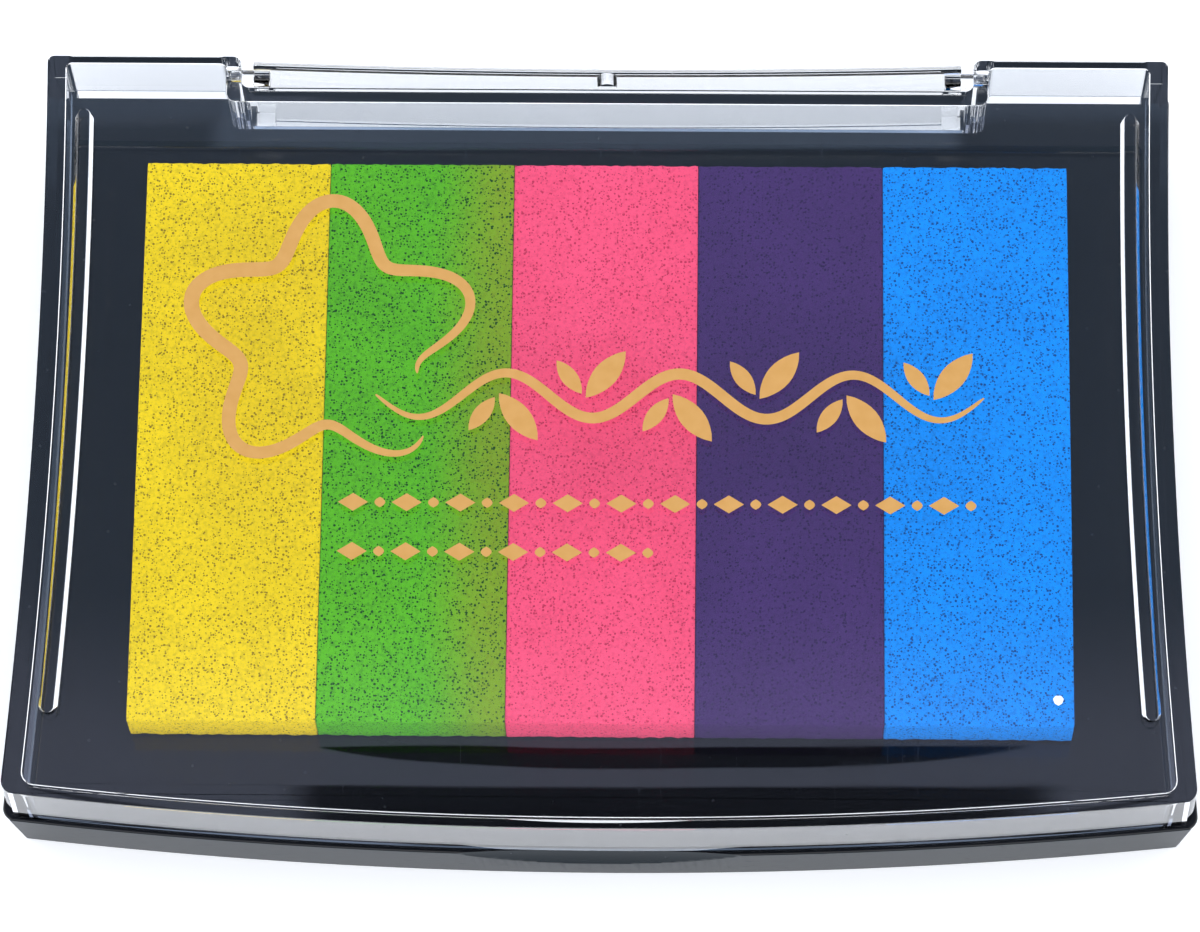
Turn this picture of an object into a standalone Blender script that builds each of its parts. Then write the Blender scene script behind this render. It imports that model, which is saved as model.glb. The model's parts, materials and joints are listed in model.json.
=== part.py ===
"""Five-colour ink pad in a flat hinged case: a clear lid folds right round under the black tray.

Units are metres, +Z up. The origin is on the surface the pad stands on, under the middle of
the case. -Y is the front with the thumb scoop, +Y the hinge side, +X the right-hand side.
"""

import math

import bmesh
import bpy

MM = 0.001

# Case outline in plan, measured at the lid's top edge
CASE_HALF_DEPTH = 41.25 * MM
WAIST_HALF_WIDTH = 57.4 * MM
WAIST_Y = 16.4 * MM
SIDE_RADIUS = 780 * MM
LID_FRONT_Y = -40.84 * MM
FRONT_RADIUS = 540 * MM
FRONT_CORNER_RADIUS = 1.4 * MM
REAR_CORNER_RADIUS = 0.7 * MM
RECESS_CORNER_RADIUS = 0.9 * MM

# Heights
RIM_Z = 9.5 * MM
LID_BOTTOM_Z = 9.8 * MM
LID_TOP_Z = 19.0 * MM
WELL_FLOOR_Z = 8.0 * MM
UNDER_DECK_Z = 6.4 * MM
COVER_TOP_Z = 1.5 * MM

# Double hinge: the link's two axes are half the folding travel apart, and the gap leaves room
# for the lid's ribs under the tray
FOLD_GAP = 0.9 * MM
AXIS_Y = 39.65 * MM
LID_AXIS_Z = 17.3 * MM
LINK_LENGTH = (LID_TOP_Z + FOLD_GAP) / 2
TRAY_AXIS_Z = LID_AXIS_Z - LINK_LENGTH
PIN_RADIUS = 0.75 * MM
PIN_HOLE_RADIUS = 0.95 * MM
BOSS_RADIUS = 1.1 * MM

# Rear recess that the link stands in
LID_RECESS_HALF = 37.75 * MM
LID_RECESS_Y = 37.8 * MM
TRAY_RECESS_HALF = 39.2 * MM
TRAY_RECESS_FLARE = 1.1 * MM
TRAY_RECESS_Y = 37.75 * MM

# Lid walls
LID_SIDE_WALL = 2.0 * MM
LID_FRONT_WALL = 0.95 * MM
LID_BOX_SIDE_WALL = 1.45 * MM
LID_BOX_REAR_WALL = 0.6 * MM
LID_RECESS_WALL = 1.1 * MM
LID_PANEL = 1.5 * MM
LID_DRAFT = 0.35 * MM
LID_EDGE = 0.4 * MM

# Raised ribs on the lid
RIB_INSET = 3.9 * MM
RIB_FRONT_Y = -29.7 * MM
RIB_REAR_Y = 35.1 * MM
RIB_HALF_WIDTH = 0.95 * MM
RIB_TOP_HALF_WIDTH = 0.5 * MM
RIB_HEIGHT = 0.6 * MM

# Tray: how far its rim stands outside the lid, and its walls
RIM_SIDE = 0.8 * MM
RIM_FRONT = 0.41 * MM
RIM_REAR = -0.05 * MM
TRAY_TAPER = 0.75 * MM
TRAY_SKIRT = 1.3 * MM
TRAY_WALL = 2.4 * MM
WELL_SIDE_WALL = 2.8 * MM
WELL_FRONT_WALL = 1.7 * MM
WELL_REAR_Y = 35.4 * MM
COVER_GAP = 0.3 * MM

# Ears that hold the link's lower pins
EAR_THICK = 0.8 * MM
EAR_OUTER_X = 37.6 * MM
EAR_RADIUS = 1.35 * MM

# Thumb scoop in the tray's front edge
SCOOP_SEMI_AXES = (15.2 * MM, 1.6 * MM, 6.0 * MM)
SCOOP_CENTRE = (0, -41.7 * MM, 9.9 * MM)

# Link plate
LINK_HALF_WIDTH = 36.5 * MM
LINK_THICK = 0.9 * MM
LINK_OFFSET = 0.3 * MM
LINK_BOW = 0.6 * MM
LINK_OVERHANG = 1.5 * MM
LINK_EDGE = 0.4 * MM
BOSS_INNER_X = 34.8 * MM
LID_PIN_END_X = 38.9 * MM
TRAY_PIN_END_X = 37.5 * MM
LINK_NOTCH_RADIUS = 1.5 * MM
LINK_NOTCH_DEPTH = 0.4 * MM
LINK_NOTCH_HEIGHT = 3.0 * MM

# Pad of five foam strips, each on its own adhesive backing
STRIP_PITCH = 19.0 * MM
STRIP_GAP = 0.1 * MM
PAD_DEPTH = 60.2 * MM
PAD_CENTRE_Y = 1.3 * MM
FOAM_TOP_Z = 13.5 * MM
LAYER_GAP = 0.1 * MM
BACKING_THICK = 0.25 * MM
BACKING_MARGIN = 0.4 * MM
FOAM_EDGE = 0.35 * MM
INKS = {
    "yellow": (0.93, 0.70, 0.02),
    "green": (0.10, 0.55, 0.03),
    "pink": (0.95, 0.10, 0.23),
    "purple": (0.09, 0.03, 0.20),
    "blue": (0.00, 0.31, 0.95),
}

# Blank label under the tray
LABEL_SIZE = (70 * MM, 34 * MM)
LABEL_THICK = 0.2 * MM
LABEL_POCKET = 0.45 * MM
LABEL_LIFT = 0.12 * MM
LABEL_MARGIN = 0.5 * MM
LABEL_CORNER = 2.0 * MM

ARC_STEPS = 5
FRONT_STEPS = 14
SIDE_STEPS = 9
ROUND_SIDES = 24
CUT = 1.0 * MM


def clear_scene():
    for old in list(bpy.data.objects):
        bpy.data.objects.remove(old)


def finish_of(name, colour, roughness, transmission=0.0):
    material = bpy.data.materials.new(name)
    material.use_nodes = True
    shader = material.node_tree.nodes["Principled BSDF"]
    shader.inputs["Base Color"].default_value = (*colour, 1)
    shader.inputs["Roughness"].default_value = roughness
    shader.inputs["Metallic"].default_value = 0
    shader.inputs["Transmission Weight"].default_value = transmission
    return material


def side_x(y):
    """Half width of the waisted case at a depth y."""
    return WAIST_HALF_WIDTH + SIDE_RADIUS - math.sqrt(SIDE_RADIUS**2 - (y - WAIST_Y) ** 2)


def front_y(x):
    """The bowed front edge at a width x."""
    return LID_FRONT_Y + FRONT_RADIUS - math.sqrt(FRONT_RADIUS**2 - x**2)


def rounded(corners):
    """Plan points of a polygon of (x, y, radius) corners, with each radius turned into an arc."""
    points = []
    count = len(corners)
    for i, (x, y, radius) in enumerate(corners):
        if not radius:
            points.append((x, y))
            continue
        before, after = corners[i - 1], corners[(i + 1) % count]
        to_before = math.atan2(before[1] - y, before[0] - x)
        to_after = math.atan2(after[1] - y, after[0] - x)
        opening = (to_after - to_before + math.pi) % (2 * math.pi) - math.pi
        middle = to_before + opening / 2
        reach = radius / math.sin(abs(opening) / 2)
        centre_x = x + reach * math.cos(middle)
        centre_y = y + reach * math.sin(middle)
        swing = math.copysign(math.pi - abs(opening), opening)
        for step in range(ARC_STEPS + 1):
            angle = middle + math.pi + swing * (0.5 - step / ARC_STEPS)
            points.append(
                (centre_x + radius * math.cos(angle), centre_y + radius * math.sin(angle))
            )
    return points


def case_plan(side, front, rear_y, recess=None):
    """Case outline moved out by side and front, ending at rear_y.

    recess is (half width at its floor, floor y, flare to the rear edge) or None.
    """
    corner_x, corner_y = WAIST_HALF_WIDTH, LID_FRONT_Y
    for _ in range(6):
        corner_y = front_y(corner_x) - front
        corner_x = side_x(corner_y) + side
    right = []
    for step in range(FRONT_STEPS):
        x = corner_x * step / FRONT_STEPS
        right.append((x, front_y(x) - front, 0))
    right.append((corner_x, corner_y, FRONT_CORNER_RADIUS))
    for step in range(1, SIDE_STEPS):
        y = corner_y + (rear_y - corner_y) * step / SIDE_STEPS
        right.append((side_x(y) + side, y, 0))
    right.append((side_x(rear_y) + side, rear_y, REAR_CORNER_RADIUS))
    if recess:
        half, floor_y, flare = recess
        right.append((half + flare, rear_y, RECESS_CORNER_RADIUS))
        right.append((half, floor_y, RECESS_CORNER_RADIUS))
    left = [(-x, y, radius) for x, y, radius in reversed(right[1:])]
    return rounded(right + left)


def loft(name, levels):
    """Closed solid through plan outlines of equal point counts, given as (points, z) from low to high."""
    mesh = bmesh.new()
    rings = [[mesh.verts.new((x, y, z)) for x, y in points] for points, z in levels]
    for low, high in zip(rings, rings[1:]):
        count = len(low)
        for i in range(count):
            j = (i + 1) % count
            mesh.faces.new((low[i], low[j], high[j], high[i]))
    mesh.faces.new(list(reversed(rings[0])))
    mesh.faces.new(rings[-1])
    return add_object(name, mesh)


def add_object(name, mesh):
    bmesh.ops.recalc_face_normals(mesh, faces=mesh.faces)
    data = bpy.data.meshes.new(name)
    mesh.to_mesh(data)
    mesh.free()
    data.shade_smooth()
    data.set_sharp_from_angle(angle=math.radians(30))
    thing = bpy.data.objects.new(name, data)
    bpy.context.scene.collection.objects.link(thing)
    return thing


def helper(thing):
    thing.hide_render = True
    thing.display_type = "WIRE"
    return thing


def combine(thing, other, operation):
    modifier = thing.modifiers.new(other.name, "BOOLEAN")
    modifier.operation = operation
    modifier.object = helper(other)


def rod(name, radius, x_from, x_to, y, z):
    """A round bar along X."""
    mesh = bmesh.new()
    ends = []
    for x in sorted((x_from, x_to)):
        ring = []
        for step in range(ROUND_SIDES):
            angle = 2 * math.pi * step / ROUND_SIDES
            ring.append(mesh.verts.new((x, y + radius * math.cos(angle), z + radius * math.sin(angle))))
        ends.append(ring)
    for i in range(ROUND_SIDES):
        j = (i + 1) % ROUND_SIDES
        mesh.faces.new((ends[0][i], ends[0][j], ends[1][j], ends[1][i]))
    for ring in ends:
        mesh.faces.new(ring)
    return add_object(name, mesh)


def rounded_box(name, low, high, edge, corner=0.0):
    """A box with rounded upright corners of radius corner and bevelled edges."""
    radius = corner or edge
    plan = rounded(
        [
            (low[0], low[1], radius),
            (high[0], low[1], radius),
            (high[0], high[1], radius),
            (low[0], high[1], radius),
        ]
    )
    thing = loft(name, [(plan, low[2]), (plan, high[2])])
    if edge:
        bevel = thing.modifiers.new("edges", "BEVEL")
        bevel.width = edge
        bevel.segments = 2
        bevel.limit_method = "ANGLE"
        bevel.angle_limit = math.radians(60)
    return thing


def rib_plan(sign, half_width):
    """Outline of a rib that runs parallel to the waisted side, with round ends."""
    front_end, rear_end = RIB_FRONT_Y + half_width, RIB_REAR_Y - half_width

    def centre(y):
        return sign * (side_x(y) - RIB_INSET)

    points = []
    for step in range(SIDE_STEPS + 1):
        y = front_end + (rear_end - front_end) * step / SIDE_STEPS
        points.append((centre(y) + half_width, y))
    for step in range(1, ARC_STEPS * 2):
        angle = math.pi * step / (ARC_STEPS * 2)
        points.append(
            (centre(rear_end) + half_width * math.cos(angle), rear_end + half_width * math.sin(angle))
        )
    for step in range(SIDE_STEPS + 1):
        y = rear_end + (front_end - rear_end) * step / SIDE_STEPS
        points.append((centre(y) - half_width, y))
    for step in range(1, ARC_STEPS * 2):
        angle = math.pi + math.pi * step / (ARC_STEPS * 2)
        points.append(
            (centre(front_end) + half_width * math.cos(angle), front_end + half_width * math.sin(angle))
        )
    return points


def make_lid(hinge_empty, material):
    """Clear lid: thick waisted side walls, thin front wall, and two rear boxes beside the recess."""
    recess = (LID_RECESS_HALF, LID_RECESS_Y, 0)
    rear = CASE_HALF_DEPTH
    low = case_plan(LID_DRAFT, LID_DRAFT / 3, rear, recess)
    shoulder = case_plan(0, 0, rear, recess)
    edge = case_plan(-0.3 * LID_EDGE, -0.3 * LID_EDGE, rear - 0.3 * LID_EDGE, recess)
    top = case_plan(-LID_EDGE, -LID_EDGE, rear - LID_EDGE, recess)
    lid = loft(
        "clear_lid",
        [
            (low, LID_BOTTOM_Z),
            (shoulder, LID_TOP_Z - LID_EDGE),
            (edge, LID_TOP_Z - 0.3 * LID_EDGE),
            (top, LID_TOP_Z),
        ],
    )
    inner_recess = (LID_RECESS_HALF + LID_BOX_SIDE_WALL, LID_RECESS_Y - LID_RECESS_WALL, 0)
    inner = case_plan(-LID_SIDE_WALL, -LID_FRONT_WALL, rear - LID_BOX_REAR_WALL, inner_recess)
    hollow = loft(
        "lid_hollow", [(inner, LID_BOTTOM_Z - CUT), (inner, LID_TOP_Z - LID_PANEL)]
    )
    combine(lid, hollow, "DIFFERENCE")
    for side, sign in (("left", -1), ("right", 1)):
        wide = rib_plan(sign, RIB_HALF_WIDTH)
        narrow = rib_plan(sign, RIB_TOP_HALF_WIDTH)
        rib = loft(
            f"lid_rib_{side}",
            [
                (wide, LID_TOP_Z - LID_PANEL / 2),
                (wide, LID_TOP_Z + RIB_HEIGHT / 3),
                (narrow, LID_TOP_Z + RIB_HEIGHT),
            ],
        )
        combine(lid, rib, "UNION")
        bore = rod(
            f"lid_pin_bore_{side}",
            PIN_HOLE_RADIUS,
            sign * (LID_RECESS_HALF - CUT),
            sign * (LID_RECESS_HALF + LID_BOX_SIDE_WALL + 0.1 * MM),
            AXIS_Y,
            LID_AXIS_Z,
        )
        combine(lid, bore, "DIFFERENCE")
    lid.data.materials.append(material)
    attach(lid, hinge_empty)


def tray_plan(inset, taper):
    """Tray outline at the rim, moved in by inset and by the wall's taper."""
    return case_plan(
        RIM_SIDE - inset - taper,
        RIM_FRONT - inset - taper,
        CASE_HALF_DEPTH + RIM_REAR - inset - taper / 2,
        (TRAY_RECESS_HALF + inset, TRAY_RECESS_Y - inset, TRAY_RECESS_FLARE),
    )


def make_tray(material):
    """Black tray: a skirt, a deck with a shallow well, hinge ears and a thumb scoop."""
    tray = loft("tray", [(tray_plan(0, TRAY_TAPER), 0), (tray_plan(0, 0), RIM_Z)])
    rim_side = RIM_SIDE - WELL_SIDE_WALL
    rim_front = RIM_FRONT - WELL_FRONT_WALL
    floor = case_plan(rim_side, rim_front, WELL_REAR_Y)
    well = loft("tray_well", [(floor, WELL_FLOOR_Z), (floor, RIM_Z + CUT)])
    combine(tray, well, "DIFFERENCE")
    under = tray_plan(TRAY_WALL, TRAY_TAPER)
    hollow = loft("tray_hollow", [(under, -CUT), (under, UNDER_DECK_Z)])
    combine(tray, hollow, "DIFFERENCE")
    mouth = tray_plan(TRAY_SKIRT, TRAY_TAPER)
    seat = loft("tray_cover_seat", [(mouth, -CUT), (mouth, COVER_TOP_Z + COVER_GAP)])
    combine(tray, seat, "DIFFERENCE")
    combine(tray, thumb_scoop(), "DIFFERENCE")
    for side, sign in (("left", -1), ("right", 1)):
        combine(tray, hinge_ear(side, sign), "UNION")
        bore = rod(
            f"ear_bore_{side}",
            PIN_HOLE_RADIUS,
            sign * (EAR_OUTER_X - EAR_THICK - CUT / 2),
            sign * (EAR_OUTER_X + CUT / 2),
            AXIS_Y,
            TRAY_AXIS_Z,
        )
        combine(tray, bore, "DIFFERENCE")
    tray.data.materials.append(material)


def thumb_scoop():
    """An ellipsoid that bites the tray's front edge."""
    mesh = bmesh.new()
    bmesh.ops.create_uvsphere(mesh, u_segments=32, v_segments=16, radius=1)
    for vertex in mesh.verts:
        for axis in range(3):
            vertex.co[axis] = vertex.co[axis] * SCOOP_SEMI_AXES[axis] + SCOOP_CENTRE[axis]
    return add_object("thumb_scoop", mesh)


def hinge_ear(side, sign):
    """A round-ended lug behind the tray, in the YZ plane, that carries one lower pin."""
    profile = [(TRAY_RECESS_Y - CUT / 2, TRAY_AXIS_Z + EAR_RADIUS)]
    for step in range(ARC_STEPS * 2 + 1):
        angle = math.pi / 2 - math.pi * step / (ARC_STEPS * 2)
        profile.append(
            (AXIS_Y + EAR_RADIUS * math.cos(angle), TRAY_AXIS_Z + EAR_RADIUS * math.sin(angle))
        )
    profile.append((TRAY_RECESS_Y - CUT / 2, TRAY_AXIS_Z - EAR_RADIUS))
    mesh = bmesh.new()
    faces = []
    for x in (sign * (EAR_OUTER_X - EAR_THICK), sign * EAR_OUTER_X):
        faces.append([mesh.verts.new((x, y, z)) for y, z in profile])
    count = len(profile)
    for i in range(count):
        j = (i + 1) % count
        mesh.faces.new((faces[0][i], faces[0][j], faces[1][j], faces[1][i]))
    for ring in faces:
        mesh.faces.new(ring)
    return add_object(f"hinge_ear_{side}", mesh)


def make_cover(material):
    """Flat plate that closes the tray from below, with a pocket for the label."""
    plan = tray_plan(TRAY_SKIRT + COVER_GAP, TRAY_TAPER)
    cover = loft("bottom_cover", [(plan, 0), (plan, COVER_TOP_Z)])
    half_x = LABEL_SIZE[0] / 2 + LABEL_MARGIN
    half_y = LABEL_SIZE[1] / 2 + LABEL_MARGIN
    pocket = rounded_box(
        "label_pocket", (-half_x, -half_y, -CUT), (half_x, half_y, LABEL_POCKET), 0, LABEL_CORNER
    )
    combine(cover, pocket, "DIFFERENCE")
    cover.data.materials.append(material)


def make_label(material):
    half_x, half_y = LABEL_SIZE[0] / 2, LABEL_SIZE[1] / 2
    label = rounded_box(
        "blank_label",
        (-half_x, -half_y, LABEL_LIFT),
        (half_x, half_y, LABEL_LIFT + LABEL_THICK),
        0,
        LABEL_CORNER,
    )
    label.data.materials.append(material)


def link_section(x):
    """Cross-section of the bowed link plate at x, as (y, z) points."""
    bow = LINK_BOW * (1 - (x / LINK_HALF_WIDTH) ** 2)
    front = AXIS_Y + LINK_OFFSET - bow
    back = front + LINK_THICK
    low, high = TRAY_AXIS_Z - LINK_OVERHANG, LID_AXIS_Z + LINK_OVERHANG
    return rounded(
        [
            (front, low, LINK_EDGE / 2),
            (back, low, LINK_EDGE),
            (back, high, LINK_EDGE),
            (front, high, LINK_EDGE / 2),
        ]
    )


def make_link(link_empty, material):
    """Clear hinge link: a bowed plate with a boss and a stub pin at each of its four corners."""
    mesh = bmesh.new()
    rings = []
    for step in range(FRONT_STEPS + 1):
        x = LINK_HALF_WIDTH * (2 * step / FRONT_STEPS - 1)
        rings.append([mesh.verts.new((x, y, z)) for y, z in link_section(x)])
    for first, second in zip(rings, rings[1:]):
        count = len(first)
        for i in range(count):
            j = (i + 1) % count
            mesh.faces.new((first[i], first[j], second[j], second[i]))
    mesh.faces.new(rings[0])
    mesh.faces.new(rings[-1])
    link = add_object("hinge_link", mesh)
    for end, z, pin_end in (
        ("upper", LID_AXIS_Z, LID_PIN_END_X),
        ("lower", TRAY_AXIS_Z, TRAY_PIN_END_X),
    ):
        for side, sign in (("left", -1), ("right", 1)):
            name = f"link_{end}_{side}"
            boss = rod(
                f"{name}_boss", BOSS_RADIUS, sign * BOSS_INNER_X, sign * LINK_HALF_WIDTH, AXIS_Y, z
            )
            pin = rod(f"{name}_pin", PIN_RADIUS, sign * BOSS_INNER_X, sign * pin_end, AXIS_Y, z)
            combine(link, boss, "UNION")
            combine(link, pin, "UNION")
    combine(link, link_notch(), "DIFFERENCE")
    link.data.materials.append(material)
    attach(link, link_empty)


def link_notch():
    """Upright half-round notch in the middle of the link's front face."""
    front = AXIS_Y + LINK_OFFSET - LINK_BOW
    centre_y = front + LINK_NOTCH_DEPTH - LINK_NOTCH_RADIUS
    plan = []
    for step in range(ROUND_SIDES):
        angle = 2 * math.pi * step / ROUND_SIDES
        plan.append(
            (LINK_NOTCH_RADIUS * math.cos(angle), centre_y + LINK_NOTCH_RADIUS * math.sin(angle))
        )
    top = LID_AXIS_Z + LINK_OVERHANG
    return loft("link_notch", [(plan, top - LINK_NOTCH_HEIGHT), (plan, top + CUT)])


def make_pad(backing_material):
    """Five foam strips side by side on the well's floor, each on its own backing."""
    front, rear = PAD_CENTRE_Y - PAD_DEPTH / 2, PAD_CENTRE_Y + PAD_DEPTH / 2
    backing_z = WELL_FLOOR_Z + LAYER_GAP
    foam_z = backing_z + BACKING_THICK + LAYER_GAP
    for place, (ink, colour) in enumerate(INKS.items()):
        middle = STRIP_PITCH * (place - (len(INKS) - 1) / 2)
        half = (STRIP_PITCH - STRIP_GAP) / 2
        strip = rounded_box(
            f"foam_{ink}",
            (middle - half, front, foam_z),
            (middle + half, rear, FOAM_TOP_Z),
            FOAM_EDGE,
        )
        strip.data.materials.append(finish_of(f"{ink}_ink_foam", colour, 0.9))
        half -= BACKING_MARGIN
        backing = rounded_box(
            f"backing_{ink}",
            (middle - half, front + BACKING_MARGIN, backing_z),
            (middle + half, rear - BACKING_MARGIN, backing_z + BACKING_THICK),
            0,
            BACKING_MARGIN,
        )
        backing.data.materials.append(backing_material)


def pivot(name, z, parent=None):
    """An empty on a hinge axis."""
    empty = bpy.data.objects.new(name, None)
    empty.empty_display_size = 5 * MM
    bpy.context.scene.collection.objects.link(empty)
    empty.location = (0, AXIS_Y, z)
    if parent:
        empty.parent = parent
        empty.location = (0, 0, z - parent.location.z)
    return empty


def attach(thing, empty):
    """Hangs a solid modelled in place from an empty, keeping it where it is."""
    bpy.context.view_layer.update()
    thing.parent = empty
    thing.matrix_parent_inverse = empty.matrix_world.inverted()


def main():
    clear_scene()
    black = finish_of("black_gloss_plastic", (0.012, 0.014, 0.018), 0.12)
    cover_black = finish_of("black_satin_plastic", (0.015, 0.016, 0.018), 0.35)
    clear = finish_of("clear_lid_plastic", (0.97, 0.98, 1.0), 0.03, 1.0)
    clear_link = finish_of("clear_link_plastic", (0.97, 0.98, 1.0), 0.04, 1.0)
    tape = finish_of("backing_tape", (0.75, 0.74, 0.70), 0.6)
    paper = finish_of("blank_paper", (0.85, 0.85, 0.83), 0.6)
    link_axis = pivot("link_axis", TRAY_AXIS_Z)
    lid_axis = pivot("lid_axis", LID_AXIS_Z, link_axis)
    make_tray(black)
    make_cover(cover_black)
    make_label(paper)
    make_pad(tape)
    make_link(link_axis, clear_link)
    make_lid(lid_axis, clear)


main()
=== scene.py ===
"""Looks of the five-colour ink pad: black tray, inked foam strips, clear lid and clear hinge link.

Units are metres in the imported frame: +X right, +Y to the hinge side, +Z up.
"""

import json
import math

import bmesh
import bpy
from mathutils import Matrix, Vector, noise


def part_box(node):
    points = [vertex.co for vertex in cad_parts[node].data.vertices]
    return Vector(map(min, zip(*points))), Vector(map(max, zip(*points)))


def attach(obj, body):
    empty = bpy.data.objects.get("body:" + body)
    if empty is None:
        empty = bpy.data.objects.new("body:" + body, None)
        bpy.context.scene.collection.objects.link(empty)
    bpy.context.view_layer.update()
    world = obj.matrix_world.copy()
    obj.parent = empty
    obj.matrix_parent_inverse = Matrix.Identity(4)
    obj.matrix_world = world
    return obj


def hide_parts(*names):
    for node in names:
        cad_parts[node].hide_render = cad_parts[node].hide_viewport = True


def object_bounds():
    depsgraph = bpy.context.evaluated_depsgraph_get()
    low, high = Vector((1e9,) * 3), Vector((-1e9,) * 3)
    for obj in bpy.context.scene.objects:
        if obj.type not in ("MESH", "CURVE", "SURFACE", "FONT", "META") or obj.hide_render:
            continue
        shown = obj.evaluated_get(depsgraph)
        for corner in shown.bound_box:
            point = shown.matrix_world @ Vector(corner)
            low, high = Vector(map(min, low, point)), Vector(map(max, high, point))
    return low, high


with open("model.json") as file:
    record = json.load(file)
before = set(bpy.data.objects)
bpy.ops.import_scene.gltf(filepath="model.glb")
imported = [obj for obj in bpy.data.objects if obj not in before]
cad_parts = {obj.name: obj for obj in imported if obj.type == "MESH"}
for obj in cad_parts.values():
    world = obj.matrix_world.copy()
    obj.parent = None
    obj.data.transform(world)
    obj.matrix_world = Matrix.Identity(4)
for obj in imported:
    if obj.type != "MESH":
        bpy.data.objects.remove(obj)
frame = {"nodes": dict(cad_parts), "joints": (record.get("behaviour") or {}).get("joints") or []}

cad_low, cad_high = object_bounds()

MM = 0.001

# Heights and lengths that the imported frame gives
LID_LOW, LID_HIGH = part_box("clear_lid")
LINK_LOW, LINK_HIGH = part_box("hinge_link")
COVER_TOP_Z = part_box("bottom_cover")[1].z
AXES = {joint["name"]: Vector(joint["pos_m"]) for joint in frame["joints"]}
AXIS_Y = AXES["lid_hinge"].y
LID_AXIS_Z = AXES["lid_hinge"].z
TRAY_AXIS_Z = AXES["link_hinge"].z
RIB_HEIGHT = 0.6 * MM
LID_GAP = 0.3 * MM
LID_BOTTOM_Z = LID_LOW.z
LID_TOP_Z = LID_HIGH.z - RIB_HEIGHT
RIM_Z = LID_BOTTOM_Z - LID_GAP
CASE_HALF_DEPTH = LID_HIGH.y

# Case outline in plan, the same curves as the CAD model
WAIST_HALF_WIDTH = 57.4 * MM
WAIST_Y = 16.4 * MM
SIDE_RADIUS = 780 * MM
LID_FRONT_Y = -40.84 * MM
FRONT_RADIUS = 540 * MM
FRONT_CORNER_RADIUS = 1.4 * MM
REAR_CORNER_RADIUS = 0.7 * MM
RECESS_CORNER_RADIUS = 0.9 * MM

# Lid. FRONT_TOP, FRONT_FOOT and REAR_FOOT lean its front and rear faces: outward if above 0.
LID_RECESS_HALF = 37.75 * MM
LID_RECESS_Y = 37.8 * MM
LID_SIDE_WALL = 1.75 * MM
LID_FRONT_WALL = 1.15 * MM
LID_BOX_SIDE_WALL = 1.45 * MM
LID_BOX_REAR_WALL = 0.35 * MM
LID_RECESS_WALL = 1.1 * MM
LID_PANEL = 1.5 * MM
LID_DRAFT = 0.35 * MM
LID_EDGE = 0.05 * MM
LID_FRONT_TOP = 0.22 * MM
LID_FRONT_FOOT = -0.05 * MM
LID_REAR_FOOT = -0.13 * MM
LID_FOOT_EDGE = 0.03 * MM
LID_FILLET = 0.18 * MM
LID_EDGE_SHARE = 0.3
BORE_OVERSHOOT = 0.1 * MM
RIB_INSET = 3.9 * MM
RIB_FRONT_Y = -29.7 * MM
RIB_REAR_Y = 35.1 * MM
RIB_HALF_WIDTH = 0.95 * MM
RIB_TOP_HALF_WIDTH = 0.5 * MM
RIB_CREST_EDGE = 0.2 * MM
RIB_FOOT_RISE = 0.05 * MM

# Tray
RIM_SIDE = 0.8 * MM
RIM_FRONT = 0.41 * MM
RIM_EDGE = 0.25 * MM
REAR_EDGE_SHARE = 0.2
MOST_CORNER_SHRINK = 0.6 * MM
REAR_NOTCH_DEPTH = 1.05 * MM
REAR_NOTCH_X = (39.3 * MM, 55.6 * MM)
TRAY_FOOT_EDGE = 0.3 * MM
TRAY_TAPER = 0.75 * MM
TRAY_SKIRT = 1.3 * MM
TRAY_WALL = 2.4 * MM
TRAY_RECESS_HALF = 38.1 * MM
TRAY_RECESS_FLARE = 0.3 * MM
TRAY_RECESS_Y = 37.75 * MM
WELL_FLOOR_Z = RIM_Z - 1.5 * MM
WELL_SIDE_WALL = 2.8 * MM
WELL_FRONT_WALL = 1.7 * MM
WELL_REAR_Y = 35.4 * MM
WELL_FILLET = 0.3 * MM
WELL_LIP = 0.2 * MM
UNDER_DECK_Z = WELL_FLOOR_Z - 1.6 * MM
COVER_GAP = 0.3 * MM
COVER_EDGE = 0.2 * MM
LABEL_MARGIN = 0.5 * MM
LABEL_CORNER = 2.0 * MM
LABEL_HEADROOM = 0.13 * MM
EAR_THICK = 0.8 * MM
EAR_OUTER_X = 37.6 * MM
EAR_RADIUS = 1.35 * MM
SCOOP_SEMI_AXES = (19.3 * MM, 1.35 * MM, 7.5 * MM)
SCOOP_CENTRE = (0, -41.95 * MM, 9.9 * MM)

# Link
PIN_RADIUS = 0.75 * MM
PIN_HOLE_RADIUS = 0.95 * MM
BOSS_RADIUS = 1.1 * MM
LINK_HALF_WIDTH = 36.5 * MM
LINK_THICK = 0.9 * MM
LINK_OFFSET = 0.3 * MM
LINK_BOW = 0.6 * MM
LINK_EDGE = 0.4 * MM
ROD_EDGE = 0.15 * MM
BOSS_INNER_X = 34.8 * MM
PIN_SETBACK = 0.4 * MM
TRAY_PIN_END_X = 37.5 * MM
LINK_NOTCH_RADIUS = 1.5 * MM
LINK_NOTCH_DEPTH = 0.4 * MM
LINK_NOTCH_HEIGHT = 3.0 * MM

# Fineness of the meshes, and how far a cutting solid reaches past what it cuts
ARC_STEPS = 8
FRONT_STEPS = 72
SIDE_STEPS = 24
ROUND_SIDES = 40
EDGE_STEPS = 5
SCAR_SIDES = 24
SHARP_ANGLE = math.radians(32)
CUT = 1.0 * MM


# ---------------------------------------------------------------- outlines


def side_x(y):
    """Half width of the waisted case at a depth y."""
    return WAIST_HALF_WIDTH + SIDE_RADIUS - math.sqrt(SIDE_RADIUS**2 - (y - WAIST_Y) ** 2)


def front_y(x):
    """The bowed front edge at a width x."""
    return LID_FRONT_Y + FRONT_RADIUS - math.sqrt(FRONT_RADIUS**2 - x**2)


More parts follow.
